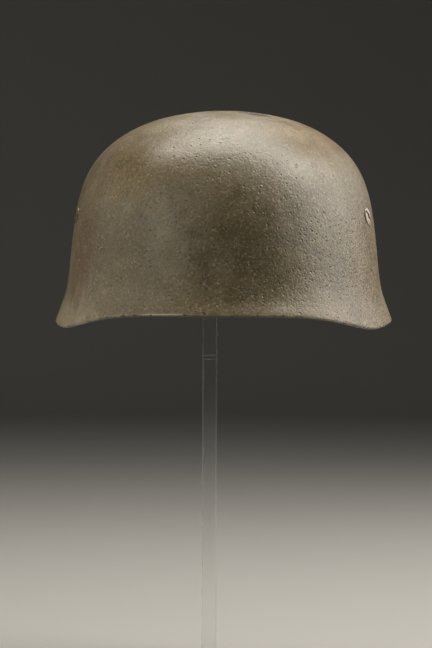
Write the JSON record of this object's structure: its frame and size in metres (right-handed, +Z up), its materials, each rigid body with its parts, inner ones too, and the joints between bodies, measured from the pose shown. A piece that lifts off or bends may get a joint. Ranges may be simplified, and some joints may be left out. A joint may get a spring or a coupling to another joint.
{
  "type": "paratrooper helmet shell on a clear post stand",
  "caption": "Deep rounded steel helmet shell with a short flared rim and vent bolts, held up by a clear square post on a base.",
  "frame": {"origin": "on the surface under the stand, below the middle of the helmet shell", "axes": "+Z up, -Y out of the brow, +X towards the wearer's left ear"},
  "size_m": [0.236, 0.2691, 0.4123],
  "materials": {
    "shell_paint": "worn satin field paint in grey-tan, with fine grain, pits, tan stains and a dark stain at the crown",
    "bolt_paint": "the same paint, rubbed brighter on the domed head, dark in the slot",
    "nut_steel": "dull browned steel",
    "clear_acrylic": "polished clear acrylic with bright edges"
  },
  "bodies": {
    "root": {"shell": "shell_paint", "bolt_brow_left": "bolt_paint", "bolt_brow_right": "bolt_paint", "bolt_nape_left": "bolt_paint", "bolt_nape_right": "bolt_paint", "nut_brow_left": "nut_steel", "nut_brow_right": "nut_steel", "nut_nape_left": "nut_steel", "nut_nape_right": "nut_steel", "stand_rest": "clear_acrylic", "stand_post": "clear_acrylic", "stand_base": "clear_acrylic"}
  },
  "joints": []
}
